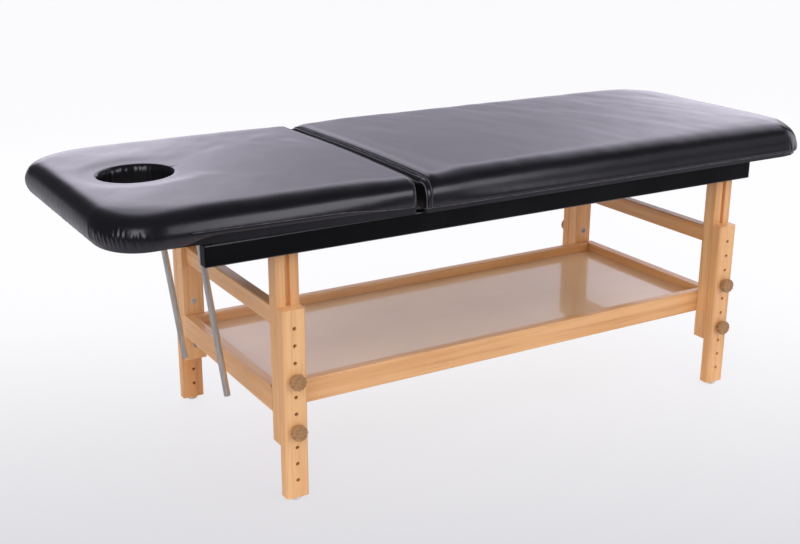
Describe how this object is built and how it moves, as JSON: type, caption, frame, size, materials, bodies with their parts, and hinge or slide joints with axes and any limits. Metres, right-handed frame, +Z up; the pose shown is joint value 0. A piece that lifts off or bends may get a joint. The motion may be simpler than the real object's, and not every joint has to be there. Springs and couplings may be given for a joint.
{
  "type": "massage table",
  "caption": "Padded massage table: body cushion and lifting head section with face hole, on an adjustable wooden frame with a shelf.",
  "frame": {"origin": "on the floor, under the middle of the table's outline", "axes": "+Z up, +X from the head end to the foot end, +Y from the near side to the far side"},
  "size_m": [1.9415, 0.7, 0.7246],
  "materials": {
    "wood": "satin clear lacquer over light timber",
    "black_paint": "satin black paint, on timber rails",
    "vinyl": "satin black upholstery vinyl over foam",
    "laminate": "glossy pale laminate",
    "steel": "dull plated steel",
    "bright_steel": "bright plated steel",
    "knob_plastic": "moulded brown plastic",
    "pale_rubber": "matt pale rubber",
    "dark_rubber": "matt black rubber"
  },
  "bodies": {
    "table": {"body_board": "vinyl", "body_cushion": "vinyl", "cross_rail_foot": "wood", "cross_rail_head": "wood", "hinge_body_leaf_far": "steel", "hinge_body_leaf_near": "steel", "hinge_pin_far": "steel", "hinge_pin_near": "steel", "post_far_foot": "wood", "post_far_head": "wood", "post_near_foot": "wood", "post_near_head": "wood", "rest_pad_far": "dark_rubber", "rest_pad_near": "dark_rubber", "shelf_end_rail_foot": "wood", "shelf_end_rail_head": "wood", "shelf_long_rail_far": "wood", "shelf_long_rail_near": "wood", "shelf_panel": "laminate", "side_rail_far": "black_paint", "side_rail_near": "black_paint", "tee_nut_far_foot_lower": "bright_steel", "tee_nut_far_foot_upper": "bright_steel", "tee_nut_far_head_lower": "bright_steel", "tee_nut_far_head_upper": "bright_steel", "tee_nut_near_foot_lower": "bright_steel", "tee_nut_near_foot_upper": "bright_steel", "tee_nut_near_head_lower": "bright_steel", "tee_nut_near_head_upper": "bright_steel"},
    "head_section": {"head_board": "vinyl", "head_cushion": "vinyl", "hinge_head_leaf_near": "steel", "hinge_head_leaf_far": "steel", "prop_bracket_near": "steel", "prop_bracket_far": "steel", "prop_pin_near": "bright_steel", "prop_pin_far": "bright_steel"},
    "prop_near": {"prop_tube_near": "steel"},
    "prop_far": {"prop_tube_far": "steel"},
    "lower_leg_near_head": {"leg_near_head": "wood", "foot_glide_near_head": "pale_rubber"},
    "lower_leg_near_foot": {"leg_near_foot": "wood", "foot_glide_near_foot": "pale_rubber"},
    "lower_leg_far_head": {"leg_far_head": "wood", "foot_glide_far_head": "pale_rubber"},
    "lower_leg_far_foot": {"leg_far_foot": "wood", "foot_glide_far_foot": "pale_rubber"},
    "knob_near_head_lower": {"knob_bolt_near_head_lower": "knob_plastic"},
    "knob_near_head_upper": {"knob_bolt_near_head_upper": "knob_plastic"},
    "knob_near_foot_lower": {"knob_bolt_near_foot_lower": "knob_plastic"},
    "knob_near_foot_upper": {"knob_bolt_near_foot_upper": "knob_plastic"},
    "knob_far_head_lower": {"knob_bolt_far_head_lower": "knob_plastic"},
    "knob_far_head_upper": {"knob_bolt_far_head_upper": "knob_plastic"},
    "knob_far_foot_lower": {"knob_bolt_far_foot_lower": "knob_plastic"},
    "knob_far_foot_upper": {"knob_bolt_far_foot_upper": "knob_plastic"}
  },
  "joints": [
    {"name": "head_tilt", "type": "hinge", "parent": "table", "child": "head_section", "pos_m": [-0.2635, 0, 0.6889], "axis": [0, 1, 0], "range_deg": [0, 60]},
    {"name": "prop_swing_near", "type": "hinge", "parent": "head_section", "child": "prop_near", "pos_m": [-0.70556, -0.131, 0.61577], "axis": [0, 1, 0], "range_deg": [-62, 2]},
    {"name": "prop_swing_far", "type": "hinge", "parent": "head_section", "child": "prop_far", "pos_m": [-0.70556, 0.131, 0.61577], "axis": [0, 1, 0], "range_deg": [-62, 2]},
    {"name": "height_near_head", "type": "slide", "parent": "table", "child": "lower_leg_near_head", "axis": [0, 0, -1], "range_m": [-0.12, 0.12]},
    {"name": "height_near_foot", "type": "slide", "parent": "table", "child": "lower_leg_near_foot", "axis": [0, 0, -1], "range_m": [-0.12, 0.12]},
    {"name": "height_far_head", "type": "slide", "parent": "table", "child": "lower_leg_far_head", "axis": [0, 0, -1], "range_m": [-0.12, 0.12]},
    {"name": "height_far_foot", "type": "slide", "parent": "table", "child": "lower_leg_far_foot", "axis": [0, 0, -1], "range_m": [-0.12, 0.12]},
    {"name": "knob_out_near_head_lower", "type": "slide", "parent": "table", "child": "knob_near_head_lower", "axis": [0, -1, 0], "range_m": [0, 0.075]},
    {"name": "knob_out_near_head_upper", "type": "slide", "parent": "table", "child": "knob_near_head_upper", "axis": [0, -1, 0], "range_m": [0, 0.075]},
    {"name": "knob_out_near_foot_lower", "type": "slide", "parent": "table", "child": "knob_near_foot_lower", "axis": [0, -1, 0], "range_m": [0, 0.075]},
    {"name": "knob_out_near_foot_upper", "type": "slide", "parent": "table", "child": "knob_near_foot_upper", "axis": [0, -1, 0], "range_m": [0, 0.075]},
    {"name": "knob_out_far_head_lower", "type": "slide", "parent": "table", "child": "knob_far_head_lower", "axis": [0, 1, 0], "range_m": [0, 0.075]},
    {"name": "knob_out_far_head_upper", "type": "slide", "parent": "table", "child": "knob_far_head_upper", "axis": [0, 1, 0], "range_m": [0, 0.075]},
    {"name": "knob_out_far_foot_lower", "type": "slide", "parent": "table", "child": "knob_far_foot_lower", "axis": [0, 1, 0], "range_m": [0, 0.075]},
    {"name": "knob_out_far_foot_upper", "type": "slide", "parent": "table", "child": "knob_far_foot_upper", "axis": [0, 1, 0], "range_m": [0, 0.075]}
  ],
  "couplings": [
    {"joint": "prop_swing_near", "follows": "head_tilt", "ratio": -1},
    {"joint": "prop_swing_far", "follows": "head_tilt", "ratio": -1}
  ]
}
